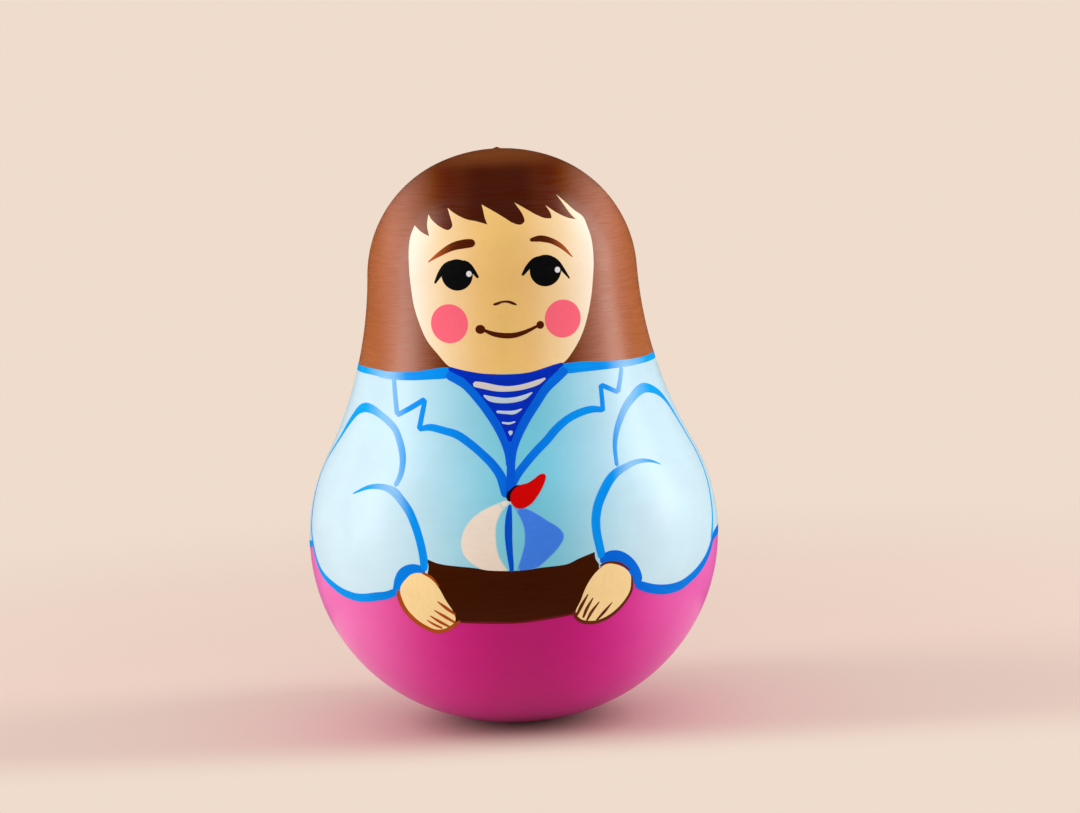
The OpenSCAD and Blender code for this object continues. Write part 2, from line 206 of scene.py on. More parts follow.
class Paint:
    """Collects the closed skins of paint that make one piece, in millimetres."""

    def __init__(self):
        self.points = []
        self.faces = []
        self.brush = []
        self.rim = []
        self.sharp = set()

    def add(self, points, faces, brush, sharp, rim=None):
        start = len(self.points)
        self.points += points
        self.brush += brush
        self.rim += rim if rim else [1.0] * len(points)
        self.faces += [[start + i for i in f] for f in faces]
        self.sharp |= {frozenset((start + a, start + b)) for a, b in sharp}

    def patch(self, rim, lift, grain=0.0, spacing=1.1, soft=0.16):
        """Flat area of paint inside a rim of azimuths and heights, thinner along the rim."""
        mean_r = sum(surface(z)[0] for _, z in rim) / len(rim)
        flat = [Vector((az * mean_r, z)) for az, z in rim]
        if sum(p.cross(q) for p, q in zip(flat, flat[1:] + flat[:1])) < 0:
            flat.reverse()
        count = len(flat)
        edges = [(i, (i + 1) % count) for i in range(count)]
        inner = []
        for i, p in enumerate(flat):
            way = flat[(i + 1) % count] - flat[i - 1]
            q = p + soft * Vector((-way.y, way.x)).normalized()
            if clear_of(q, flat, SOFT_CLEAR * soft):
                inner.append(q)
        low = [min(p[k] for p in flat) for k in (0, 1)]
        high = [max(p[k] for p in flat) for k in (0, 1)]
        for row in range(int((high[1] - low[1]) / (TRIANGLE_H * spacing)) + 1):
            shift = 0.5 * spacing * (row % 2)
            for col in range(int((high[0] - low[0]) / spacing) + 1):
                q = Vector((low[0] + shift + col * spacing, low[1] + TRIANGLE_H * row * spacing))
                if clear_of(q, flat, GRID_CLEAR * spacing):
                    inner.append(q)
        places, _, faces, first, _, _ = delaunay_2d_cdt(flat + inner, edges, [], 1, 1e-6)
        on_rim = [any(i < count for i in o) for o in first]
        top = [on(p.x / mean_r, p.y, lift - (RIM if r else 0)) for p, r in zip(places, on_rim)]
        below = [on(p.x / mean_r, p.y, UNDER) for p in places]
        total = len(places)
        used = {}
        for f in faces:
            for a, b in zip(f, f[1:] + f[:1]):
                used[frozenset((a, b))] = used.get(frozenset((a, b)), []) + [(a, b)]
        sides = [u[0] for u in used.values() if len(u) == 1]
        shape = [list(f) for f in faces] + [[total + i for i in reversed(f)] for f in faces]
        shape += [[b, a, total + a, total + b] for a, b in sides]
        turn = Matrix.Rotation(-math.radians(grain), 2)
        brush = [(*(turn @ p), float(len(self.points) % PATCH_STARTS)) for p in places]
        away = [rim_gap(p, flat) for p in places]
        self.add(top + below, shape, brush * 2, sides, away * 2)

    def stroke(self, points, lift, step=STEP):
        """Domed brush stroke along points of azimuth, height and width, round at each end."""
        line = smooth(points, step)
        places = [on(az, z) for az, z, _ in line]
        run = [0.0]
        for p, q in zip(places, places[1:]):
            run.append(run[-1] + (q - p).length)
        across = (-1, -0.86, -0.5, 0, 0.5, 0.86, 1)
        rings, brush = [], []
        for i, (az, z, width) in enumerate(line):
            half = width / 2
            for here in (run[i], run[-1] - run[i]):
                if here < half:
                    half *= math.sqrt(max(1 - (1 - here / half) ** 2, 0.01))
            way = places[min(i + 1, len(line) - 1)] - places[max(i - 1, 0)]
            _, out, up = surface(z)
            normal = Vector((out * math.sin(az), -out * math.cos(az), up))
            side = way.cross(normal).normalized()
            dome = DOME * min(1, 2 * half / FULL_DOME)
            ring, marks = [], []
            for k in across:
                q = places[i] + side * (half * k)
                turn = math.atan2(q.x, -q.y)
                ring.append(on(turn, q.z, lift + dome * (1 - k * k)))
                marks.append((run[i], half * k, float(len(self.points) % STROKE_STARTS)))
            for k in (1, -1):
                q = places[i] + side * (half * k)
                ring.append(on(math.atan2(q.x, -q.y), q.z, UNDER))
                marks.append(marks[-1] if k == 1 else marks[0])
            rings += ring
            brush += marks
        size = len(across) + 2
        last = (len(line) - 1) * size
        faces = [list(range(size)), [last + k for k in reversed(range(size))]]
        sharp = []
        for i in range(len(line) - 1):
            a, b = i * size, (i + 1) * size
            for k in range(size):
                n = (k + 1) % size
                faces.append([a + k, b + k, b + n, a + n])
            sharp += [(a, b), (a + len(across) - 1, b + len(across) - 1)]
        self.add(rings, faces, brush, sharp)

    def wrap(self, rows, lift, count=240, from_foot=False):
        """Paint all round the wood. rows gives the radius, height and normal up one side."""
        top, below, sharp = [], [], []
        for i in range(count):
            az = 2 * math.pi * i / count
            for r, z, out, up in rows(az):
                grow = min(1.0, z / FOOT_FADE) * lift if from_foot else lift
                for found, by in ((top, grow), (below, UNDER)):
                    way = r + by * out if r > 0 else 0.0
                    found.append(Vector((way * math.sin(az), -way * math.cos(az), z + by * up)))
        size = len(top) // count
        total = len(top)
        faces = []
        for i in range(count):
            a, b = i * size, (i + 1) % count * size
            for k in range(size - 1):
                faces.append([a + k, b + k, b + k + 1, a + k + 1])
                faces.append([total + a + k, total + a + k + 1, total + b + k + 1, total + b + k])
            for k in (0, size - 1):
                faces.append([a + k, b + k, total + b + k, total + a + k])
                sharp.append((a + k, b + k))
        self.add(top + below, faces, [tuple(p) for p in top] * 2, sharp)

    def make(self, name, material):
        """Turns the skins into one piece of the doll."""
        mesh = bpy.data.meshes.new(name)
        mesh.from_pydata([p * MM for p in self.points], [], self.faces)
        kept = mesh.attributes.new("brush", "FLOAT_VECTOR", "POINT")
        kept.data.foreach_set("vector", [c for mark in self.brush for c in mark])
        kept = mesh.attributes.new("rim", "FLOAT", "POINT")
        kept.data.foreach_set("value", self.rim)
        work = bmesh.new()
        work.from_mesh(mesh)
        for edge in work.edges:
            edge.smooth = frozenset(v.index for v in edge.verts) not in self.sharp
        bmesh.ops.remove_doubles(work, verts=work.verts, dist=1e-9)
        bmesh.ops.recalc_face_normals(work, faces=work.faces)
        for face in work.faces:
            face.smooth = True
        work.to_mesh(mesh)
        work.free()
        mesh.materials.append(material)
        piece = bpy.data.objects.new(name, mesh)
        bpy.context.scene.collection.objects.link(piece)
        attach(piece, "doll")


def draw(name, material, lift, place, lines, step=STEP):
    """One piece of brush strokes. place, which is front or turned, says how their points are given."""
    piece = Paint()
    for points in lines:
        piece.stroke(place(*points), lift, step)
    piece.make(name, material)


def rim_gap(q, rim):
    """Distance from q to the nearest side of the rim."""
    nearest = math.inf
    for a, b in zip(rim, rim[1:] + rim[:1]):
        way = b - a
        t = max(0.0, min(1.0, (q - a).dot(way) / max(way.length_squared, 1e-12)))
        nearest = min(nearest, (q - a - way * t).length)
    return nearest


def clear_of(q, rim, gap):
    """True if q lies inside the rim and at least gap from its points and sides."""
    inside = False
    for a, b in zip(rim, rim[1:] + rim[:1]):
        if (a.y > q.y) != (b.y > q.y) and q.x < a.x + (b.x - a.x) * (q.y - a.y) / (b.y - a.y):
            inside = not inside
    return inside and rim_gap(q, rim) >= gap


# Materials.

# Half the width over which a paint's colour changes with the painted side light, in millimetres, and how
# far behind the middle, as a share of that, the colour becomes even.
REACH = 40.0
EVEN_BEHIND = 0.6

# Roughness of the varnished paint, and the depth of its slow ripple in millimetres.
GLOSS = 0.3
RIPPLE_DEPTH = 0.006

# How much of the slow mottle shows, and the tone that it has.
MOTTLE = 0.14
MOTTLE_TONE = (0.7, 0.66, 0.7, 1)

# Painted light from above: how far up the paint must face to begin and to finish taking the crown's
# colour, and how much it takes.
TOP_LIGHT_FROM = 0.84
TOP_LIGHT_TO = 1.03
TOP_LIGHT_SHARE = 0.8

# Width of the rim where the colour below shows through, in millimetres, and how much of the top colour
# is left there.
THIN_RIM = 0.3
THIN_SHARE = 0.15


def srgb(r, g, b):
    return [((c / 255 + 0.055) / 1.055) ** 2.4 if c > 10 else c / 3294.6 for c in (r, g, b)]


def shaded(colour, by):
    return (*[min(1.0, c * by) for c in colour], 1.0)


class Look:
    """One material and the nodes that feed its shader."""

    def __init__(self, name):
        self.material = bpy.data.materials.new(name)
        self.material.use_nodes = True
        self.nodes = self.material.node_tree.nodes
        self.shader = self.nodes["Principled BSDF"]

    def node(self, kind, **values):
        found = self.nodes.new("ShaderNode" + kind)
        for name, value in values.items():
            if name in found.inputs:
                self.set(found.inputs[name], value)
            else:
                setattr(found, name, value)
        return found

    def set(self, socket, value):
        if isinstance(value, bpy.types.NodeSocket):
            self.material.node_tree.links.new(value, socket)
        else:
            socket.default_value = value

    def place(self, source, scale, sway=0.0):
        """Coordinates in millimetres: "brush" along the painting, or "wood" in the part's frame.

        sway is how far a brush wanders off its line.
        """
        if source == "brush":
            start = self.node("Attribute", attribute_name="brush").outputs["Vector"]
        else:
            start = self.node("TexCoord").outputs["Object"]
            scale = [s / MM for s in scale]
        if sway:
            off = self.node("TexNoise", Vector=start, Scale=0.09, Detail=2.0).outputs["Color"]
            off = self.node("VectorMath", operation="SCALE", Vector=off, Scale=sway).outputs["Vector"]
            moved = self.node("VectorMath", operation="ADD")
            self.set(moved.inputs[0], start)
            self.set(moved.inputs[1], off)
            start = moved.outputs["Vector"]
        return self.node("Mapping", Vector=start, Scale=scale).outputs["Vector"]

    def noise(self, where, detail=4.0, roughness=0.55, distortion=0.0):
        return self.node(
            "TexNoise", Vector=where, Scale=1.0, Detail=detail, Roughness=roughness, Distortion=distortion
        ).outputs["Fac"]

    def ramp(self, value, *stops, kind="LINEAR"):
        found = self.node("ValToRGB", Fac=value)
        found.color_ramp.interpolation = kind
        bands = found.color_ramp.elements
        while len(bands) < len(stops):
            bands.new(0.5)
        for band, (place, colour) in zip(bands, stops):
            band.position = place
            band.color = colour
        return found.outputs["Color"]

    def across(self, stops):
        """Colour by the place across the doll, in millimetres towards the viewer's right.

        Stops that start at the middle hold for both sides. Behind, the colour is even. The stops paint the
        side lamps' light and highlights into the colour: darker in the middle, paler towards the sides.
        """
        split = self.node("SeparateXYZ", Vector=self.place("wood", [1 / REACH] * 3))
        side, behind = split.outputs["X"], split.outputs["Y"]
        if stops[0][0] >= 0:
            side = self.node("Math", operation="ABSOLUTE", Value=side).outputs[0]
            stops = [(mm / REACH, shaded(colour, 1)) for mm, colour in stops]
        else:
            side = self.node("MapRange", Value=side, **{"From Min": -1.0}).outputs["Result"]
            stops = [(0.5 + mm / REACH / 2, shaded(colour, 1)) for mm, colour in stops]
        even = [sum(colour[k] for _, colour in stops) / len(stops) for k in range(4)]
        tone = self.ramp(side, *stops, kind="CARDINAL")
        return self.mix(tone, even, self.span(behind, 0.0, 1.0, 0.0, EVEN_BEHIND))

    def span(self, value, low, high, start=0.3, end=0.7):
        """Maps a value from start to end, which is the middle of a noise, to a range of numbers."""
        found = self.node("MapRange", Value=value, interpolation_type="SMOOTHSTEP")
        for name, number in (("From Min", start), ("From Max", end), ("To Min", low), ("To Max", high)):
            found.inputs[name].default_value = number
        return found.outputs["Result"]

    def mix(self, a, b, factor, blend="MIX"):
        found = self.node("Mix", data_type="RGBA", blend_type=blend)
        for index, value in ((0, factor), (6, a), (7, b)):
            self.set(found.inputs[index], value)
        return found.outputs[2]

    def relief(self, height, depth, under=None):
        found = self.node("Bump", Height=height, Strength=1.0, Distance=depth * MM)
        if under is not None:
            self.set(found.inputs["Normal"], under)
        return found.outputs["Normal"]

    def finish(self, **values):
        for name, value in values.items():
            self.set(self.shader.inputs[name.replace("_", " ")], value)
        return self.material


def acrylic(
    name, colour, streak, spread=0.05, depth=0.003, shine=0.4,
    under=None, sway=0.0, brushed=0.03, crown=None,
):
    """Varnished acrylic: bristle streaks along the brush, slow changes of tone and a faint ripple.

    colour is one colour, or stops of a place across the doll and the colour there; the stops are painted
    side light and highlight, darker in the middle and paler towards the sides.
    under is the colour that shows through a thin rim, crown a painted light from above: the paler colour
    where the paint faces up. brushed is how far the bristle streaks change the roughness.
    """
    look = Look(name)
    fine = look.noise(look.place("brush", streak, sway), 3.0, 0.6)
    slow = look.noise(look.place("wood", (0.11, 0.11, 0.11)), 2.0)
    ripple = look.noise(look.place("wood", (0.7, 0.7, 0.7)), 1.0)
    # Stops across the doll are painted side light and highlight, not the paint's own change of colour.
    if isinstance(colour[0], tuple):
        tone = look.across(colour)
    else:
        tone = shaded(colour, 1)
    # Painted light from above: paint that faces up is mixed towards the paler crown colour.
    if crown:
        facing = look.node("TexCoord").outputs["Normal"]
        up = look.node("SeparateXYZ", Vector=facing).outputs["Z"]
        tone = look.mix(tone, shaded(crown, 1), look.span(up, 0.0, TOP_LIGHT_SHARE, TOP_LIGHT_FROM, TOP_LIGHT_TO))
    tone = look.mix(tone, (0, 0, 0, 1), look.span(fine, spread, 0.0))
    tone = look.mix(tone, MOTTLE_TONE, look.span(slow, 0.0, MOTTLE), "MULTIPLY")
    if under:
        rim = look.node("Attribute", attribute_name="rim").outputs["Fac"]
        tone = look.mix(shaded(under, 1), tone, look.span(rim, THIN_SHARE, 1.0, 0.0, THIN_RIM))
    return look.finish(
        Base_Color=tone,
        Roughness=look.span(fine, GLOSS - brushed, GLOSS + brushed),
        Normal=look.relief(ripple, RIPPLE_DEPTH, look.relief(fine, depth)),
        Specular_IOR_Level=shine,
    )


def limewood(name):
    """Pale turned wood with long grain and faint turning rings."""
    look = Look(name)
    grain = look.noise(look.place("wood", (0.9, 0.9, 0.05)), 6.0, 0.6, 0.4)
    rings = look.noise(look.place("wood", (0.02, 0.02, 2.6)), 2.0)
    pale = srgb(214, 178, 128)
    tone = look.ramp(grain, (0.32, shaded(pale, 0.72)), (0.52, shaded(pale, 1)), (0.72, shaded(pale, 1.14)))
    return look.finish(
        Base_Color=tone,
        Roughness=look.span(grain, 0.5, 0.68),
        Normal=look.relief(rings, 0.03, look.relief(grain, 0.02)),
    )


def metal(name, colour, scale, rough, depth, spread=0.12):
    """Bare metal with the marks of its making along one direction."""
    look = Look(name)
    marks = look.noise(look.place("wood", scale), 4.0, 0.6)
    dull = look.noise(look.place("wood", (0.3, 0.3, 0.3)), 4.0)
    tone = look.ramp(
        marks, (0.3, shaded(colour, 1 - spread)), (0.5, shaded(colour, 1)), (0.7, shaded(colour, 1 + spread))
    )
    return look.finish(
        Base_Color=look.mix(tone, shaded(colour, 0.7), look.span(dull, 0.0, 0.45)),
        Metallic=1.0,
        Roughness=look.span(dull, rough - 0.06, rough + 0.12),
        Normal=look.relief(marks, depth),
    )


def dress_wood_and_metal():
    wood = limewood("limewood")
    iron = metal("cast_iron", srgb(78, 77, 80), (1.6, 1.6, 1.6), 0.62, 0.12, 0.25)
    zinc = metal("zinc_plate", srgb(196, 196, 190), (3.0, 3.0, 0.6), 0.34, 0.01)
    strip = metal("rolled_strip", srgb(170, 172, 176), (0.4, 3.4, 3.4), 0.36, 0.01)
    drawn = metal("drawn_rod", srgb(206, 208, 212), (3.6, 3.6, 0.12), 0.24, 0.006)
    wire = metal("brass_wire", srgb(196, 158, 84), (2.4, 2.4, 2.4), 0.34, 0.008)
    brass = metal("turned_brass", srgb(206, 168, 92), (0.5, 0.5, 5.0), 0.28, 0.01)
    looks = {
        "lower_shell": wood, "upper_shell": wood, "ballast": iron, "ballast_screw": zinc,
        "ballast_washer": zinc, "chime_base": strip, "striker_yoke": strip, "yoke_screws": zinc,
        "hanger_eye": wire, "link_ring": wire, "striker_stem": wire, "striker_head": brass,
        "stem_collars": zinc,
    }
    for name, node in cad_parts.items():
        for place in node.material_slots:
            place.material = looks.get(name, drawn)


# The large areas of paint.

def climb(bottom, top, step):
    """Heights from bottom to top, about evenly spaced along the outline of the wood."""
    found = [bottom]
    z = bottom
    while z < top:
        z += CLIMB_STEP
        r0, r1 = surface(found[-1])[0], surface(min(z, top))[0]
        if math.hypot(r1 - r0, z - found[-1]) >= step:
            found.append(min(z, top))
    if top - found[-1] < SHORT_ROW * step and len(found) > 1:
        found[-1] = top
    else:
        found.append(top)
    return found


def station(z):
    r, out, up = surface(z)
    return r, z, out, up


# Lower edge of the jacket: round the back, along the sleeves' hems and cuffs, and behind the boat.
HEM = (
    (-180, 35.3), (-88, 35.6), (-80, 36.6), (-77.9, 37.0), (-75, 36.2), (-72.1, 33.9), (-69.3, 32.3),
    (-65.7, 31.2), (-61.4, 30.3), (-57.9, 29.6), (-53.6, 29.1), (-49.6, 28.9), (-45.7, 29.1),
    (-41.4, 29.6), (-37.9, 30.0), (-34.6, 30.7), (-33.9, 31.6), (-33.2, 33.0), (-31.8, 34.4),
    (-29.6, 35.2), (-27.1, 35.3), (-24.9, 34.4), (-22, 33.4), (20, 33.4), (23.2, 34.4), (25.9, 36.2),
    (28.7, 36.3), (31.6, 35.0), (33.7, 33.5), (35.1, 31.6), (35.6, 30.2), (36.6, 29.6), (40.1, 28.8),
    (44.4, 28.2), (48.7, 28.0), (53, 28.2), (57.3, 29.0), (61.6, 30.0), (65.9, 31.4), (69.4, 33.0),
    (72.3, 34.8), (75, 35.3), (180, 35.3),
)


def hem(az):
    turn = (math.degrees(az) + 180) % 360 - 180
    for (a0, z0), (a1, z1) in zip(HEM, HEM[1:]):
        if turn <= a1:
            return z0 + (z1 - z0) * (turn - a0) / (a1 - a0)
    return HEM[-1][1]


def paint_ground():
    # Painted side light: the magenta is darkest in the middle and paler towards both sides.
    magenta = acrylic(
        "magenta_acrylic",
        (
            (-35, srgb(249, 122, 194)),
            (-18, srgb(220, 57, 151)),
            (2, srgb(186, 19, 117)),
            (20, srgb(219, 50, 153)),
            (36, srgb(246, 108, 193)),
        ),
        (0.06, 0.06, 0.9), spread=0.015, depth=0.0008, shine=0.15, brushed=0.015,
    )
    # Painted side light and sheen: the jacket's blue is deepest in the middle and pales towards both sides.
    blue = acrylic(
        "jacket_acrylic",
        (
            (-37, srgb(214, 240, 252)),
            (-17, srgb(189, 229, 246)),
            (3, srgb(114, 205, 231)),
            (20, srgb(190, 229, 248)),
            (37, srgb(210, 241, 253)),
        ),
        (0.06, 0.06, 0.9), spread=0.015, depth=0.001, shine=0.3, brushed=0.015,
    )
    # Painted light and highlight: the hair is darkest in the middle and paler to the sides, the stop at 19
    # mm is a painted highlight beside the face, and crown is painted light from above.
    brown = acrylic(
        "hair_acrylic",
        (
            (0, srgb(73, 21, 0)),
            (6, srgb(83, 27, 0)),
            (12, srgb(118, 54, 6)),
            (19, srgb(180, 114, 90)),
            (24, srgb(180, 102, 58)),
            (28, srgb(185, 108, 64)),
        ),
        (0.14, 0.14, 3.2),
        spread=0.09, depth=0.008, shine=0.24, sway=1.6, brushed=0.1, crown=srgb(150, 80, 32),
    )
    trousers = Paint()
    rise = [station(z) for z in climb(0.0, TROUSERS_TOP, ROW_STEP)]
    trousers.wrap(lambda az: rise, TROUSERS, from_foot=True)
    trousers.make("trousers_paint", magenta)

    def jacket_rows(az):
        low = hem(az)
        return [station(low + (NECK_H - low) * k / JACKET_ROWS) for k in range(JACKET_ROWS + 1)]

    jacket = Paint()
    jacket.wrap(jacket_rows, CLOTH, count=360)
    jacket.make("jacket_paint", blue)

    crown, crown_r, _, _ = ARCS[-1]
    edge_h = crown.y + math.sqrt(crown_r**2 - (NIB_D / 2) ** 2)
    tops = [station(z) for z in climb(NECK_H, edge_h, ROW_STEP)]
    tops += [(NIB_D / 4, (edge_h + TOTAL_H) / 2, 0.4, 0.92), (0.0, TOTAL_H, 0.0, 1.0)]
    hair = Paint()
    hair.wrap(lambda az: tops, CLOTH)
    hair.make("hair_paint", brown)


# Face.

FACE = (
    ((-16.5, 95), (-16.9, 93.3), (-17.1, 89.5), (-16.9, 85.3), (-16.5, 82), (-15.6, 78.7), (-14.4, 75.8),
     (-12.5, 73.3), (-10.4, 71), (-8.3, 70.3), (-5, 69.7), (0, 69.4), (4.2, 69.5), (6.7, 70),
     (10.4, 70.8), (12.5, 73), (14.2, 75.8), (15.4, 79.1), (16.25, 82.8), (16.8, 87), (16.9, 90.3),
     (16.7, 92.8), (16, 95.3), (15.4, 96.8), (13.75, 98.2), (11.9, 100), (10.6, 101.2)),
    ((11.6, 99.7), (13.0, 97.6), (14, 96.5)),
    ((12.5, 96.9), (10.4, 98), (8.5, 99.4)),
    ((9.4, 97.8), (9.5, 97)),
    ((8.3, 97.1), (6.7, 97.8), (4.6, 99.1), (2.8, 100.2)),
    ((4.2, 98), (4.5, 96.8), (3.75, 96.2), (2.3, 96.6), (0.8, 97.6), (-1.25, 98.9), (-3.2, 100.1)),
    ((-3, 99.1), (-2.7, 97.6), (-2.3, 96.5)),
    ((-4.2, 97.1), (-6.25, 97.6), (-8.3, 98.7), (-9.5, 99.7)),
    ((-9, 97.8), (-8.75, 96.4), (-9.4, 95.75), (-10.8, 96.2), (-12.5, 97.6), (-13.1, 98.6)),
    ((-13.4, 96.6), (-13.1, 94.7)),
    ((-14.2, 95.2), (-15.75, 96.6)),
)


def paint_face():
    # Painted side light and highlight: the skin pales towards the face's sides.
    skin = acrylic(
        "skin_acrylic",
        (
            (0, srgb(243, 199, 116)),
            (6, srgb(246, 204, 136)),
            (12, srgb(250, 223, 180)),
            (17, srgb(252, 237, 219)),
        ),
        (0.8, 1.6, 1.0), spread=0.015,
    )
    black = acrylic("black_acrylic", srgb(12, 13, 15), (0.4, 2.5, 1.0), spread=0.25, shine=0.2)
    white = acrylic("white_acrylic", srgb(230, 230, 232), (0.3, 3.0, 1.0))
    rose = acrylic("rose_acrylic", srgb(255, 104, 128), (0.35, 1.8, 1.0), spread=0.03, shine=0.2)
    dark = acrylic("dark_brown_acrylic", srgb(84, 28, 3), (0.3, 4.5, 1.0), spread=0.25, shine=0.05)
    brow = acrylic(
        "brow_acrylic", ((9, srgb(104, 42, 8)), (13, srgb(204, 100, 44))), (0.25, 4.0, 1.0),
        spread=0.35, shine=0.05,
    )

    face = Paint()
    face.patch(outline([front(*run) for run in FACE]), FIGURE)
    face.make("face_paint", skin)

    eyes = (
        ("eye_left", (-8.25, 87.6), 2.85,
         ((-8.9, 89.9, 1.1), (-10.2, 89.2, 1.3), (-11.25, 88.0, 1.1), (-12.45, 86.1, 0.35)),
         ((-7.4, 89.9, 1.0), (-6.25, 89.4, 1.05), (-5.3, 88.3, 0.85), (-4.4, 86.95, 0.45))),
        ("eye_right", (7.9, 87.7), 2.87,
         ((7.3, 90.0, 1.0), (6.0, 89.6, 1.1), (4.75, 88.5, 0.95), (3.6, 87.05, 0.4)),
         ((9.0, 89.9, 1.0), (10.1, 89.0, 1.05), (11.15, 87.6, 0.75), (12.3, 85.9, 0.25))),
    )
    for name, centre, r, *lashes in eyes:
        eye = Paint()
        eye.patch(ellipse(*centre, r, r), DETAIL, spacing=0.8)
        for lash in lashes:
            eye.stroke(front(*lash), DETAIL - APART, step=SMALL_STEP)
        eye.make(name, black)
    for name, x, z in (("glint_left", -6.05, 87.75), ("glint_right", 10.1, 87.7)):
        glint = Paint()
        glint.patch(ellipse(x, z, 0.5, 0.54, 24), FINE + APART, spacing=0.4, soft=0.1)
        glint.make(name, white)

    brows = (
        ("brow_left",
         ((-13.5, 90.0, 0.15), (-11.4, 91.4, 0.9), (-8.9, 92.7, 1.5), (-6.4, 93.2, 1.7),
          (-4.7, 93.25, 1.4))),
        ("brow_right",
         ((5.3, 93.35, 0.6), (7.3, 93.5, 1.2), (9.2, 93, 1.1), (11, 91.9, 0.9), (13, 89.8, 0.15))),
    )
    for name, points in brows:
        draw(name, brow, DETAIL, front, (points,), SMALL_STEP)

    nose = Paint()
    nose.stroke(
        front((-1.9, 82.0, 0.35), (-1.2, 82.15, 0.5), (-0.2, 82.45, 0.36), (0.9, 82.4, 0.45),
              (1.7, 82.1, 0.5), (2.4, 81.75, 0.2)),
        DETAIL, step=0.12,
    )
    nose.make("nose_line", dark)

    mouth = Paint()
    mouth.stroke(
        front((-4.4, 77.6, 0.55), (-3.75, 77.4, 0.55), (-2.1, 76.7, 0.85), (0, 76.3, 1.0),
              (1.7, 76.3, 0.95), (3.75, 76.8, 0.75), (5.8, 77.65, 0.5), (6.5, 77.9, 0.5)),
        DETAIL, step=0.2,
    )
    for x, z, rx, rz in ((-4.45, 77.6, 0.9, 0.82), (6.5, 77.9, 0.7, 0.72)):
        mouth.patch(ellipse(x, z, rx, rz, 28), DETAIL + APART, spacing=0.5, soft=0.12)
    mouth.make("mouth_line", dark)

    for name, x, rx, rz in (("cheek_left", -10.05, 3.4, 3.55), ("cheek_right", 10.7, 3.3, 3.45)):
        cheek = Paint()
        cheek.patch(ellipse(x, 78.75, rx, rz), DETAIL, grain=65, spacing=0.8)
        cheek.make(name, rose)


# Shirt, jacket and sleeves.

# How close the streaks of the blue lines are along and across the brush.
LINE_STREAK = (0.16, 3.6, 1.0)


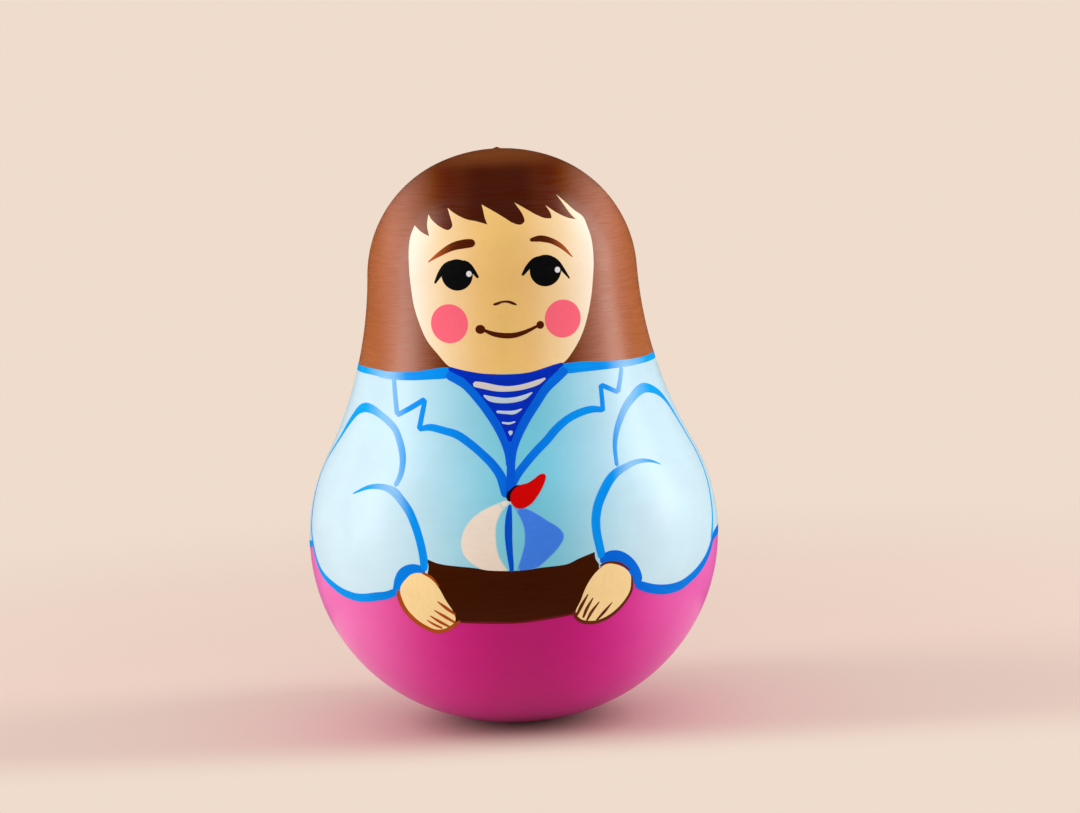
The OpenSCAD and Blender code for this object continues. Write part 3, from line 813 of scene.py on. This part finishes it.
def paint_clothes():
    navy = acrylic("navy_acrylic", srgb(0, 46, 200), (0.25, 2.5, 1.0), spread=0.2, shine=0.04)
    # Painted light on the blue lines: deepest in the middle, paler to the sides, with a painted highlight at
    # 22 mm.
    line = acrylic(
        "line_acrylic",
        (
            (0, srgb(0, 104, 232)),
            (13, srgb(0, 150, 254)),
            (18.5, srgb(0, 155, 253)),
            (22, srgb(142, 204, 255)),
            (26.5, srgb(2, 172, 254)),
            (36, srgb(45, 182, 250)),
        ),
        LINE_STREAK, spread=0.15, shine=0.04,
    )
    # Painted side light: the lowest lines pale towards the sides, more on the viewer's left.
    low = acrylic(
        "low_line_acrylic",
        (
            (-36, srgb(0, 162, 255)),
            (-20, srgb(0, 131, 241)),
            (16, srgb(0, 106, 234)),
            (30, srgb(2, 128, 243)),
        ),
        LINE_STREAK, spread=0.15, shine=0.04,
    )
    # Painted side light: the collar lines are a little paler away from the middle.
    deep = acrylic(
        "deep_line_acrylic", ((0, srgb(0, 92, 228)), (8, srgb(0, 110, 236))), LINE_STREAK,
        spread=0.15, shine=0.04,
    )
    stripe = acrylic("stripe_acrylic", srgb(218, 212, 206), (0.2, 4.0, 1.0), spread=0.09, shine=0.2)
    pale = acrylic("pale_stripe_acrylic", srgb(196, 216, 230), (0.2, 4.0, 1.0), spread=0.15, shine=0.2)

    shirt = Paint()
    shirt.patch(
        outline([
            front((-9.6, 70.2), (-8.3, 69.9), (-5, 69.3), (0, 69.0), (4.2, 69.1), (6.7, 69.6), (9.8, 70.3)),
            front((8.2, 67.6), (6.2, 65.6), (4.0, 62.8), (2.2, 59.9), (1.0, 57.4), (0.3, 56.2)),
            front((-0.8, 57.6), (-2.0, 60.2), (-3.8, 63.2), (-5.8, 65.9), (-7.6, 68), (-10, 70.4)),
        ]),
        FIGURE,
    )
    shirt.stroke(
        front((-10.6, 70.7, 0.7), (-8.3, 69.75, 1.3), (-5, 69.0, 1.5), (-2.4, 68.65, 1.55),
              (0, 68.55, 1.6), (2.4, 68.6, 1.5), (4.2, 68.8, 1.4), (6.7, 69.4, 1.3), (8.6, 70.0, 1.1),
              (10.4, 70.6, 0.6)),
        DETAIL,
    )
    shirt.make("shirt_paint", navy)

    stripes = Paint()
    stripes.stroke(
        front((-6.2, 67.85, 1.0), (-4.4, 67.5, 1.2), (-2, 66.95, 1.15), (0, 66.75, 1.0), (2, 66.85, 1.0),
              (4, 67.2, 1.0), (5.6, 67.65, 0.9), (7.0, 68.25, 0.3)),
        DETAIL, step=SMALL_STEP,
    )
    stripes.make("shirt_stripe_top", stripe)

    draw("shirt_stripes", pale, DETAIL, front, (
        ((-4.4, 65.75, 0.3), (-3.1, 65.1, 1.0), (-0.5, 64.7, 1.0), (1.5, 64.8, 0.95), (3, 65.15, 0.85),
         (4.5, 65.9, 0.2)),
        ((-2.2, 62.8, 0.5), (-0.5, 62.6, 0.6), (1, 62.55, 0.7), (2.5, 63.1, 0.2)),
        ((-1.3, 60.85, 0.35), (0, 60.65, 0.42), (1.2, 60.9, 0.25)),
        ((0.2, 59.4, 1.1), (0.2, 58.95, 0.7), (0.15, 58.5, 0.15)),
    ), SMALL_STEP)

    draw("shirt_collar_lines", deep, DETAIL, front, (
        ((-11, 69.75, 1.7), (-8.9, 68.6, 1.7), (-7.6, 67.6, 1.5), (-5.8, 65.6, 1.5), (-3.8, 62.9, 1.5),
         (-2.2, 60.3, 1.5), (-1.0, 57.6, 1.4), (-0.3, 55.2, 1.4), (-0.15, 53, 1.4)),
        ((11, 69.7, 1.6), (9.2, 68.3, 1.7), (7.0, 66.4, 1.6), (5.0, 63.8, 1.6), (3.1, 61.2, 1.6),
         (1.6, 58.6, 1.5), (0.6, 56.2, 1.4), (0.15, 53.8, 1.3), (0.1, 52, 1.2)),
        ((0, 57.5, 1.3), (0, 54, 1.4), (-0.1, 51, 1.6), (-0.5, 48.2, 1.3)),
    ))

    neck = Paint()
    neck.stroke(
        front((-10, 69.95, 1.7), (-11.4, 69.85, 2.1), (-14, 69.6, 1.9), (-17, 69.25, 1.6),
              (-22, 69.15, 1.4))
        + turned((-60, 69.45, 1.2), (-80, 69.5, 1.2), (-110, 69.4, 1.3), (-145, 69.5, 1.4),
                 (-184, 69.4, 1.3)),
        FIGURE,
    )
    neck.stroke(
        front((9.6, 69.95, 1.6), (10.8, 69.75, 1.9), (14, 69.75, 1.9), (17, 69.6, 1.6), (22, 69.4, 1.3))
        + turned((60, 69.35, 1.2), (80, 69.35, 1.2), (110, 69.4, 1.3), (145, 69.35, 1.4), (184, 69.4, 1.3)),
        FIGURE,
    )
    neck.make("neckline", line)

    draw("lapel_left", line, FIGURE, front, (
        ((-20.9, 68.9, 1.1), (-20.75, 65.5, 1.1), (-20.5, 62.2, 1.1)),
        ((-20.6, 62.1, 1.0), (-18, 63.5, 1.1), (-15.1, 65.2, 1.1)),
        ((-15.15, 65.2, 1.0), (-15.8, 62.5, 1.1), (-16.5, 59.7, 1.1)),
        ((-16.6, 59.8, 0.9), (-14.5, 60.2, 1.3), (-11.7, 59.6, 1.4), (-9.5, 58.9, 1.5),
         (-7.3, 57.4, 1.5), (-5.1, 55.5, 1.5), (-3.25, 53.6, 1.6), (-2, 51.75, 1.7), (-1.35, 49.9, 1.9),
         (-1, 47.9, 1.7)),
    ))

    draw("lapel_right", line, FIGURE, front, (
        ((21.3, 68.9, 1.0), (20.9, 66.7, 1.0), (20.3, 64.4, 1.0)),
        ((20.4, 64.4, 0.9), (18.8, 65.3, 1.0), (17.1, 66.2, 1.0)),
        ((17.1, 66.3, 0.9), (17.25, 64, 1.0), (17.3, 61.4, 1.0)),
        ((17.4, 61.7, 1.0), (15.5, 62.05, 1.3), (13.3, 61.75, 1.4), (10.8, 60.8, 1.4), (8.6, 59.25, 1.5),
         (6.75, 57.4, 1.5), (4.6, 55.5, 1.5), (2.7, 53.6, 1.5), (1.1, 51.75, 1.5), (0.2, 50.2, 1.4),
         (-0.3, 48.6, 1.2)),
    ))

    draw("sleeve_left", line, FIGURE, turned, (
        ((-83.5, 50.5, 0.5), (-82.9, 52.5, 0.7), (-79.3, 54.9, 1.0), (-75.7, 57.2, 1.2),
         (-72.9, 59.1, 1.5), (-70, 60.7, 1.7), (-66.4, 62.2, 1.9), (-62, 62.9, 1.9), (-58, 62.9, 1.7),
         (-54.3, 62.6, 1.5), (-50, 61.9, 1.3), (-45.7, 61, 1.3), (-41.4, 59.6, 1.3), (-38.2, 57.5, 1.4),
         (-36.1, 55.5, 1.4), (-35, 53.5, 1.3), (-34.9, 51.6, 1.2), (-35.9, 49.8, 1.0)),
        ((-52.5, 47.9, 0.2), (-50, 48.5, 0.5), (-46.4, 49.3, 0.8), (-42.9, 49.6, 1.0),
         (-39.3, 49.5, 1.2), (-35.7, 48.8, 1.6), (-32.9, 47.5, 1.6), (-30, 45.7, 1.6),
         (-27.9, 43.5, 1.6), (-26.4, 41.2, 1.6), (-25.4, 38.9, 1.6), (-24.9, 36.6, 1.6),
         (-25.1, 34.9, 1.4)),
    ))

    draw("cuff_left", low, FIGURE, turned, (
        ((-24.7, 34.6, 1.5), (-27.1, 35.2, 1.9), (-29.5, 35.0, 2.1), (-31.6, 34.2, 2.1),
         (-33, 32.8, 2.0), (-33.9, 31.3, 1.8), (-34.7, 30.4, 1.6)),
        ((-34.2, 30.9, 1.3), (-37.9, 30, 1.5), (-41.4, 29.6, 1.6), (-45.7, 29.1, 1.6),
         (-49.6, 28.9, 1.6), (-53.6, 29.1, 1.6), (-57.9, 29.6, 1.6), (-61.4, 30.3, 1.5),
         (-65.7, 31.2, 1.4), (-69.3, 32.3, 1.3), (-72.1, 33.9, 1.2), (-75, 36.1, 1.1), (-78.5, 39, 1.0),
         (-81, 43, 0.9), (-83, 47.5, 0.8), (-83.3, 51.5, 0.5)),
    ))

    draw("sleeve_right", line, FIGURE, turned, (
        ((33, 51.7, 0.8), (34.8, 55.3, 0.9), (37.3, 57.8, 1.1), (40.9, 60, 1.3), (45.1, 61.9, 1.5),
         (49.4, 63.1, 1.6), (53.7, 64, 1.8), (58, 64.4, 1.9), (62.3, 64.1, 1.8), (66.6, 63.4, 1.6),
         (70.1, 62.5, 1.5), (73.7, 61, 1.3), (76.6, 58.9, 1.2), (78.7, 56.2, 1.0), (79.8, 53, 0.9),
         (79.4, 49.4, 0.9), (78.4, 45.7, 0.9), (76.2, 42.1, 1.0), (73.7, 38, 1.1), (70.9, 34.8, 1.2)),
        ((50.5, 50.8, 0.15), (47.3, 51.6, 0.5), (43.7, 52, 0.8), (39.4, 51.9, 1.0), (35.9, 51.4, 1.2),
         (32.3, 50.7, 1.5), (29.4, 49.6, 1.7), (26.6, 47.8, 1.75), (24.1, 45.5, 1.75), (22.8, 43, 1.75),
         (22.6, 40.7, 1.7), (23, 38.5, 1.65), (23.7, 35.8, 1.5)),
    ))

    draw("cuff_right", low, FIGURE, turned, (
        ((23.0, 35.3, 1.5), (25.7, 36.0, 2.1), (28.4, 35.8, 2.3), (31.2, 34.6, 2.4), (33.2, 33, 2.4),
         (34.6, 31.2, 2.2), (35.0, 30.1, 1.7)),
        ((34, 30.4, 1.3), (36.6, 29.6, 1.7), (40.1, 28.8, 1.8), (44.4, 28.2, 1.9), (48.7, 28, 1.9),
         (53, 28.2, 1.9), (57.3, 29, 1.8), (61.6, 30, 1.8), (65.9, 31.4, 1.7), (69.4, 33, 1.6),
         (72.3, 34.6, 1.4), (75.5, 35.4, 1.2)),
    ))

    hem_line = Paint()
    hem_line.stroke(
        turned((-76.5, 37.0, 0.9), (-80, 36.5, 1.2), (-90, 35.7, 1.4), (-120, 35.3, 1.5),
               (-150, 35.2, 1.6), (-180, 35.3, 1.6), (-184, 35.3, 1.4)),
        FIGURE,
    )
    hem_line.stroke(
        turned((71, 34.8, 1.1), (76, 35.4, 1.6), (90, 35.5, 1.6), (120, 35.3, 1.5), (150, 35.2, 1.6),
               (184, 35.3, 1.4)),
        FIGURE,
    )
    hem_line.make("back_hem", low)


# Boat and hands.

def paint_boat():
    under = srgb(134, 209, 226)
    hull = acrylic("hull_acrylic", srgb(66, 22, 1), (0.14, 1.6, 1.0), spread=0.12, shine=0.05)
    keel = acrylic("keel_acrylic", srgb(112, 16, 22), (0.2, 3.0, 1.0), spread=0.25, shine=0.1)
    cream = acrylic("cream_acrylic", srgb(243, 228, 213), (0.4, 1.8, 1.0), spread=0.03, under=under)
    sky = acrylic("sail_acrylic", srgb(62, 131, 245), (0.4, 1.8, 1.0), spread=0.06, under=under, shine=0.15)
    mast = acrylic("mast_acrylic", srgb(0, 84, 220), (0.2, 3.6, 1.0), spread=0.2, shine=0.04)
    red = acrylic("red_acrylic", srgb(215, 1, 2), (0.3, 2.4, 1.0), spread=0.12, shine=0.03)
    ink = acrylic("ink_acrylic", srgb(16, 8, 34), (0.3, 3.0, 1.0), spread=0.3, shine=0.1)
    piece = Paint()
    piece.patch(
        outline([
            front((-14.2, 36.5), (-12.8, 36.2), (-7.4, 35.6), (-4.6, 35.1), (-1, 34.9), (1.1, 34.9),
                  (4.7, 35.2), (9.4, 35.5), (11.5, 36.3), (14.4, 37.2)),
            front((14.5, 36), (15.1, 34.9)),
            front((14.9, 33), (13.6, 30.4), (11.6, 26.6)),
            front((5.4, 25.6), (1.1, 25.2), (-1, 25.2), (-6, 25.4), (-12, 25.6)),
            front((-13.4, 28.4), (-15.1, 31.6), (-16.1, 33.8)),
            front((-15.7, 36), (-16, 37.2)),
        ]),
        FIGURE,
    )
    piece.make("boat_hull", hull)

    piece = Paint()
    piece.stroke(
        front((11, 26.2, 0.3), (5.4, 25.6, 0.45), (0, 25.2, 0.4), (-6, 25.35, 0.45), (-11, 25.5, 0.3)),
        DETAIL, step=0.2,
    )
    piece.make("boat_keel", keel)

    sail = Paint()
    sail.patch(
        outline([
            front((-3.1, 46.9), (-5.3, 46), (-7.4, 44.6), (-8.9, 42.8), (-9.75, 40.3), (-9.4, 38.1),
                  (-8.1, 36.5), (-6.2, 35.2)),
            front((-4, 34.7), (-1.0, 34.5)),
            front((-2.7, 37.4), (-3.2, 40.6), (-2.9, 43.6), (-1.5, 46), (-0.3, 46.9)),
            front((-0.2, 47.5), (-1.4, 47.5)),
        ]),
        FIGURE - APART,
    )
    sail.make("sail_cream", cream)

    sail = Paint()
    sail.patch(
        outline([
            front((2.6, 45.9), (4.4, 44.9), (6.1, 43.7), (8.3, 42.1), (9.1, 40.6), (8.3, 38.9),
                  (6.1, 36.7), (4.2, 35.2)),
            front((2.6, 34.8), (-0.1, 34.5)),
            front((0.9, 37.1), (1.7, 39.9), (1.7, 42.4), (1.1, 44.3), (-0.2, 46.6)),
        ]),
        FIGURE - APART,
    )
    sail.make("sail_blue", sky)

    piece = Paint()
    piece.stroke(
        front((-0.45, 46.7, 0.5), (-0.75, 44.8, 1.1), (-0.95, 42.5, 1.35), (-1.0, 40.5, 1.3),
              (-0.9, 38, 1.1), (-0.75, 36, 0.9), (-0.7, 34.7, 0.7)),
        FIGURE,
    )
    piece.make("boat_mast", mast)

    pennant = Paint()
    pennant.patch(
        outline([
            front((0.1, 49.25), (1.3, 49.9), (3, 50.3), (4.25, 51), (5.2, 51.6), (6, 51.6), (6.2, 51.1),
                  (5.7, 49.7), (4.6, 48), (3.3, 46.6), (1.75, 45.9), (0.5, 46.1), (-0.3, 47.1),
                  (-0.45, 48.3)),
        ]),
        FINE, grain=35, spacing=0.7,
    )
    pennant.make("pennant", red)

    tip = Paint()
    tip.stroke(
        front((-0.5, 47.2, 0.5), (-0.6, 48.1, 1.0), (-0.15, 48.9, 1.1), (0.7, 49.6, 0.6),
              (1.5, 49.95, 0.15)),
        DETAIL + APART, step=SMALL_STEP,
    )
    tip.make("pennant_shade", ink)


def paint_hands():
    skin = acrylic("hand_acrylic", srgb(255, 224, 162), (0.5, 2.0, 1.0), spread=0.05, shine=0.2)
    sides = (
        ("left", srgb(184, 80, 16),
         ((-18.9, 34.3), (-17.1, 34.6), (-15.4, 33.7), (-14.0, 31.9), (-12.9, 29.7), (-11.6, 27.4),
          (-11.3, 25.8), (-12.8, 24.3), (-14.6, 23.9), (-16.4, 24.4), (-18.3, 25.6), (-20.1, 27.8),
          (-21.1, 30.3), (-21, 31.9), (-20.3, 33)),
         (((-21.6, 31.2, 0.6), (-21.3, 29.6, 0.95), (-20.4, 27.5, 0.95), (-18.4, 25.3, 0.95),
           (-16.6, 24.15, 0.9), (-14.9, 23.55, 0.75), (-12.9, 23.95, 0.65), (-11.2, 25.1, 0.6),
           (-10.4, 25.7, 0.3)),
          ((-17.0, 34.7, 0.3), (-15.4, 33.9, 0.5), (-13.9, 32.2, 0.15)),
          ((-14.4, 29.4, 0.2), (-12.9, 28.2, 0.65), (-11.2, 26.9, 0.4)),
          ((-15.1, 27.7, 0.2), (-13.2, 26.5, 0.6), (-11.3, 25.3, 0.4)),
          ((-15.9, 26.6, 0.2), (-14.2, 25.5, 0.6), (-12.2, 24.4, 0.4)),
          ((-16.6, 25.8, 0.15), (-15.2, 24.9, 0.5), (-13.7, 24.2, 0.4)))),
        ("right", srgb(108, 40, 4),
         ((16.5, 34.8), (18.4, 34.4), (20.1, 33.3), (20.9, 31.8), (20.8, 29.7), (20.2, 28.1),
          (18.3, 26.2), (16.5, 24.9), (14.4, 24.3), (12.2, 24.5), (10.8, 25.3), (10.5, 26.4),
          (11.5, 28.5), (12.6, 31), (14, 33), (15.1, 34)),
         (((21.1, 31.9, 0.3), (20.85, 29.2, 0.55), (19.75, 27.4, 0.6), (17.9, 25.6, 0.65),
           (15.8, 24.4, 0.7), (13.6, 24, 0.7), (11.5, 24.5, 0.65), (10.35, 25.7, 0.6), (10.2, 26.8, 0.3)),
          ((15.2, 34.6, 0.25), (16.9, 35.0, 0.4), (19.0, 34.5, 0.45), (20.7, 33.1, 0.3)),
          ((10.6, 25.6, 0.4), (11.6, 27.5, 0.65), (12.9, 29.6, 0.2)),
          ((11.8, 25.1, 0.4), (12.6, 26.9, 0.6), (13.8, 28.8, 0.2)),
          ((12.4, 24.4, 0.35), (13.4, 26.1, 0.6), (14.9, 27.9, 0.2)),
          ((14.2, 24.3, 0.35), (15.7, 25.8, 0.6), (17.3, 27.5, 0.15)))),
    )
    for side, colour, rim, lines in sides:
        edge = acrylic("line_acrylic_" + side, colour, (0.25, 3.8, 1.0), spread=0.3, shine=0.1)
        hand = Paint()
        hand.patch(outline([front(*rim)]), DETAIL, grain=-70 if side == "left" else 70)
        hand.make("hand_" + side, skin)
        draw("hand_lines_" + side, edge, FINE - APART, front, lines, SMALL_STEP)


# Floor, light and camera.

BACKDROP = srgb(239, 220, 204)
FLOOR = srgb(223, 198, 185)
BOUNCE = srgb(226, 222, 228)
AMBIENT = (0.85, 0.85, 0.85)

# The floor is a disc just under the doll, in metres. It fades into the backdrop with the distance from
# the doll and in front of it, glowing there in the backdrop's colour, a glow that also lights the doll
# and lifts its shadow in front of it.
FLOOR_R = 4.0
FLOOR_Z = -0.02 * MM
FLOOR_SIDES = 96
FADE_OUT = (0.1, 0.3)
FADE_AHEAD = (-0.045, -0.012)

# Distance and height of the lamps and the height that they aim at, in metres, and the colour of their light.
LAMP_REACH = 0.55
LAMP_H = 0.32
LAMP_AIM = 0.07
LAMP_COLOUR = (1.0, 0.985, 0.97)


def seen_ray(tree):
    """1 for rays from the camera, straight, off a gloss or through glass, and 0 for the rest."""
    path = tree.nodes.new("ShaderNodeLightPath")
    seen = path.outputs["Is Camera Ray"]
    for name in ("Is Glossy Ray", "Is Transmission Ray"):
        either = tree.nodes.new("ShaderNodeMath")
        either.operation = "MAXIMUM"
        tree.links.new(seen, either.inputs[0])
        tree.links.new(path.outputs[name], either.inputs[1])
        seen = either.outputs[0]
    return seen


def make_stage():
    """Pale floor that takes the doll's shadow and fades into the backdrop."""
    look = Look("stage_floor")
    where = look.node("NewGeometry").outputs["Position"]
    flat = look.node("VectorMath", operation="MULTIPLY")
    look.set(flat.inputs[0], where)
    flat.inputs[1].default_value = (1, 1, 0)
    far = look.node("VectorMath", operation="LENGTH")
    look.set(far.inputs[0], flat.outputs[0])
    ahead = look.node("SeparateXYZ", Vector=where).outputs["Y"]
    fade = look.node("Math", operation="MAXIMUM")
    look.set(fade.inputs[0], look.span(far.outputs["Value"], 0.0, 1.0, *FADE_OUT))
    look.set(fade.inputs[1], look.span(ahead, 1.0, 0.0, *FADE_AHEAD))
    tone = look.mix(shaded(BOUNCE, 1), shaded(FLOOR, 1), seen_ray(look.material.node_tree))
    look.finish(Base_Color=tone, Roughness=0.7, Specular_IOR_Level=0.1)
    # The floor's glow, which also lights the doll and lifts its shadow in front of it.
    glow = look.node("Emission", Color=(*BACKDROP, 1), Strength=1.0)
    mixed = look.node("MixShader", Fac=fade.outputs[0])
    look.set(mixed.inputs[1], look.shader.outputs["BSDF"])
    look.set(mixed.inputs[2], glow.outputs["Emission"])
    look.set(look.nodes["Material Output"].inputs["Surface"], mixed.outputs["Shader"])
    mesh = bpy.data.meshes.new("stage_floor")
    turns = [2 * math.pi * i / FLOOR_SIDES for i in range(FLOOR_SIDES)]
    ring = [(FLOOR_R * math.cos(a), FLOOR_R * math.sin(a), FLOOR_Z) for a in turns]
    mesh.from_pydata(ring, [], [list(range(FLOOR_SIDES))])
    mesh.materials.append(look.material)
    floor = bpy.data.objects.new("stage_floor", mesh)
    bpy.context.scene.collection.objects.link(floor)


def make_tent():
    """Dark cloth round the set, which shows only in the gloss, so that the lamps alone glint."""
    look = Look("tent_cloth")
    look.finish(Base_Color=(0.02, 0.02, 0.02, 1), Roughness=0.9, Specular_IOR_Level=0.0)
    near, reach, low, count = 0.075, 1.2, 0.002, 48
    line = [(near, low)]
    for rise in range(0, 90, 10):
        line.append((reach * math.cos(math.radians(rise)), low + reach * math.sin(math.radians(rise))))
    size = len(line)
    points, faces = [], []
    for i in range(count):
        turn = 2 * math.pi * i / count
        points += [(r * math.sin(turn), -r * math.cos(turn), z) for r, z in line]
        a, b = i * size, (i + 1) % count * size
        faces += [[a + k, b + k, b + k + 1, a + k + 1] for k in range(size - 1)]
    faces.append([i * size + size - 1 for i in range(count)])
    mesh = bpy.data.meshes.new("tent_cloth")
    mesh.from_pydata(points, [], faces)
    mesh.materials.append(look.material)
    tent = bpy.data.objects.new("tent_cloth", mesh)
    tent.visible_camera = tent.visible_diffuse = tent.visible_shadow = False
    bpy.context.scene.collection.objects.link(tent)


def make_world():
    """Even light from all round, with the backdrop's colour where the world is seen."""
    world = bpy.data.worlds.new("studio")
    world.use_nodes = True
    nodes = world.node_tree.nodes
    links = world.node_tree.links
    shown = nodes.new("ShaderNodeMix")
    shown.data_type = "RGBA"
    links.new(seen_ray(world.node_tree), shown.inputs[0])
    shown.inputs[6].default_value = (*AMBIENT, 1)
    shown.inputs[7].default_value = (*BACKDROP, 1)
    links.new(shown.outputs[2], nodes["Background"].inputs["Color"])
    bpy.context.scene.world = world


def soft_box(name, az, size, power):
    """Tall lamp beside the doll, from about its waist to far above its head."""
    lamp = bpy.data.lights.new(name, "AREA")
    lamp.shape = "RECTANGLE"
    lamp.size, lamp.size_y = size
    lamp.energy = power
    lamp.color = LAMP_COLOUR
    piece = bpy.data.objects.new(name, lamp)
    turn = math.radians(az)
    piece.location = (LAMP_REACH * math.sin(turn), -LAMP_REACH * math.cos(turn), LAMP_H)
    aim = Vector((0, 0, LAMP_AIM)) - piece.location
    piece.rotation_euler = aim.to_track_quat("-Z", "Y").to_euler()
    piece.visible_camera = False
    bpy.context.scene.collection.objects.link(piece)


def make_camera():
    lens = bpy.data.cameras.new("camera")
    lens.sensor_width = 36.0
    lens.lens = 101.33
    lens.clip_start, lens.clip_end = 0.02, 20.0
    camera = bpy.data.objects.new("camera", lens)
    eye = Vector((0, -0.58, 0.125))
    aim = Vector((0.0061, 0.001, 0.0599))
    roll = math.radians(-2.52)
    ahead = (aim - eye).normalized()
    right = ahead.cross(Vector((0, 0, 1))).normalized()
    up = right.cross(ahead)
    turned_right = right * math.cos(roll) + up * math.sin(roll)
    turned_up = up * math.cos(roll) - right * math.sin(roll)
    stance = Matrix((turned_right, turned_up, -ahead)).transposed().to_4x4()
    camera.matrix_world = Matrix.Translation(eye) @ stance
    bpy.context.scene.collection.objects.link(camera)
    bpy.context.scene.camera = camera


dress_wood_and_metal()
paint_ground()
paint_face()
paint_clothes()
paint_boat()
paint_hands()
make_stage()
make_tent()
make_world()
soft_box("soft_box_left", -85, (0.24, 0.62), 1.75)
soft_box("soft_box_right", 95, (0.2, 0.62), 1.75)
make_camera()
bpy.context.scene.view_settings.view_transform = "Standard"
